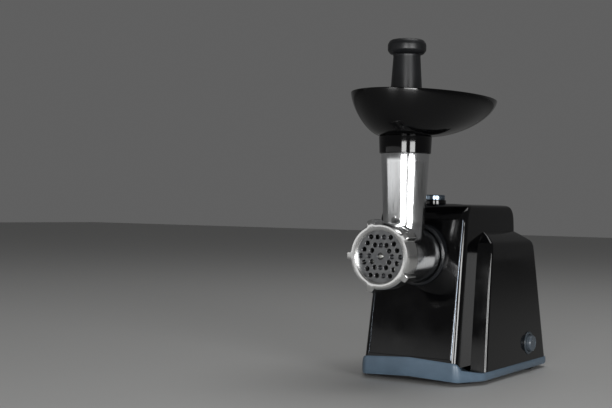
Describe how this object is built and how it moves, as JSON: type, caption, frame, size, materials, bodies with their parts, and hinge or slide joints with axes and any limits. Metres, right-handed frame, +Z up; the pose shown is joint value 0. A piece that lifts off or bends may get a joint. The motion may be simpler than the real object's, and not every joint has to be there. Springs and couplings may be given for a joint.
{
  "type": "electric meat grinder",
  "caption": "Compact electric meat grinder: leaning black housing, cast mincing head with ring and hole plate, feed tube, oval loading tray and food pusher.",
  "frame": {"origin": "on the counter under the middle of the machine's overall length, in its middle plane", "axes": "+Z up; -Y towards the front, where the ring is; +X towards the side with the power button"},
  "size_m": [0.1344, 0.2703, 0.3209],
  "materials": {
    "satin_black": "satin",
    "gloss_black": "gloss",
    "blue_grey": "satin",
    "dark_grey": "satin",
    "button_metal": "satin",
    "bright_trim": "polished",
    "cast_aluminium": "satin",
    "tube_aluminium": "polished",
    "plate_steel": "ground",
    "bright_steel": "ground",
    "white_nylon": "satin",
    "gear_nylon": "satin",
    "case_plastic": "matt",
    "rubber_black": "matt",
    "bronze": "sintered",
    "copper_wire": "enamelled",
    "iron_laminate": "stamped",
    "carbon": "matt",
    "board_green": "satin",
    "capacitor_yellow": "gloss",
    "zinc_steel": "zinc plated"
  },
  "bodies": {
    "machine": {"head_casting": "tube_aluminium", "main_housing": "gloss_black", "front_fascia": "gloss_black", "fascia_trim": "bright_trim", "rear_shell": "gloss_black", "base_plinth": "blue_grey", "bottom_cover": "satin_black", "feet": "rubber_black", "base_screws": "zinc_steel", "shell_screws": "zinc_steel", "socket_collar": "dark_grey", "latch_spring": "bright_steel", "button_bezel": "gloss_black", "power_bezel": "blue_grey", "power_switch": "satin_black", "cord_gland": "rubber_black", "gearbox_front": "case_plastic", "gearbox_rear": "case_plastic", "gearbox_screws": "zinc_steel", "output_bush": "bronze", "gear_axles": "bright_steel", "stator": "iron_laminate", "field_coils": "copper_wire", "motor_bracket_front": "zinc_steel", "motor_bracket_rear": "zinc_steel", "brushes": "carbon", "circuit_board": "board_green", "capacitor": "capacitor_yellow"},
    "tray": {"tray": "gloss_black"},
    "pusher": {"pusher": "dark_grey"},
    "plate": {"plate": "plate_steel"},
    "ring_nut": {"ring_nut": "cast_aluminium"},
    "auger_set": {"auger": "cast_aluminium", "knife": "bright_steel", "auger_drive": "white_nylon", "drive_pin": "bright_steel", "output_gear": "gear_nylon"},
    "gear_two": {"gear_two": "gear_nylon"},
    "gear_one": {"gear_one": "gear_nylon"},
    "rotor": {"motor_pinion": "bright_steel", "motor_shaft": "bright_steel", "armature": "iron_laminate", "rotor_windings": "copper_wire", "commutator": "bronze", "fan": "white_nylon"},
    "release_button": {"release_button": "button_metal"},
    "latch_rocker": {"latch_rocker": "white_nylon"},
    "latch_bolt": {"latch_bolt": "bright_steel"},
    "power_button": {"power_button": "blue_grey"}
  },
  "joints": [
    {"name": "tray_lift", "type": "slide", "parent": "machine", "child": "tray", "axis": [0, 0, 1], "range_m": [0, 0.05]},
    {"name": "pusher_lift", "type": "slide", "parent": "tray", "child": "pusher", "axis": [0, 0, 1], "range_m": [0, 0.18]},
    {"name": "plate_advance", "type": "slide", "parent": "machine", "child": "plate", "axis": [0, -1, 0], "range_m": [0, 0.012]},
    {"name": "ring_turn", "type": "hinge", "parent": "plate", "child": "ring_nut", "pos_m": [0, -0.11, 0.1203], "axis": [0, 1, 0], "range_deg": [0, 1080]},
    {"name": "rotor_spin", "type": "hinge", "parent": "machine", "child": "rotor", "pos_m": [0, 0.07, 0.03697], "axis": [0, 1, 0], "continuous": true},
    {"name": "gear_one_spin", "type": "hinge", "parent": "machine", "child": "gear_one", "pos_m": [-0.018, 0.02, 0.06097], "axis": [0, 1, 0], "continuous": true},
    {"name": "gear_two_spin", "type": "hinge", "parent": "machine", "child": "gear_two", "pos_m": [0.013, 0.01, 0.07722], "axis": [0, 1, 0], "continuous": true},
    {"name": "auger_spin", "type": "hinge", "parent": "machine", "child": "auger_set", "pos_m": [0, -0.03, 0.1203], "axis": [0, 1, 0], "continuous": true},
    {"name": "release_press", "type": "slide", "parent": "machine", "child": "release_button", "axis": [0, 0, -1], "range_m": [0, 0.003], "stiffness_N_per_m": 600, "springref_m": -0.003},
    {"name": "rocker_tilt", "type": "hinge", "parent": "machine", "child": "latch_rocker", "pos_m": [0, -0.02211, 0.1536], "axis": [-1, 0, 0], "range_deg": [0, 16]},
    {"name": "bolt_lift", "type": "slide", "parent": "machine", "child": "latch_bolt", "axis": [0, 0, 1], "range_m": [0, 0.0025]},
    {"name": "power_press", "type": "slide", "parent": "machine", "child": "power_button", "axis": [-1, 0, 0], "range_m": [0, 0.0025], "stiffness_N_per_m": 800, "springref_m": -0.002}
  ],
  "couplings": [
    {"joint": "plate_advance", "follows": "ring_turn", "m_per_rad": 0.00063662},
    {"joint": "gear_one_spin", "follows": "rotor_spin", "ratio": -0.25},
    {"joint": "gear_two_spin", "follows": "rotor_spin", "ratio": 0.0625},
    {"joint": "auger_spin", "follows": "rotor_spin", "ratio": -0.0125},
    {"joint": "rocker_tilt", "follows": "release_press", "rad_per_m": 91.1},
    {"joint": "bolt_lift", "follows": "release_press", "ratio": 0.8}
  ]
}
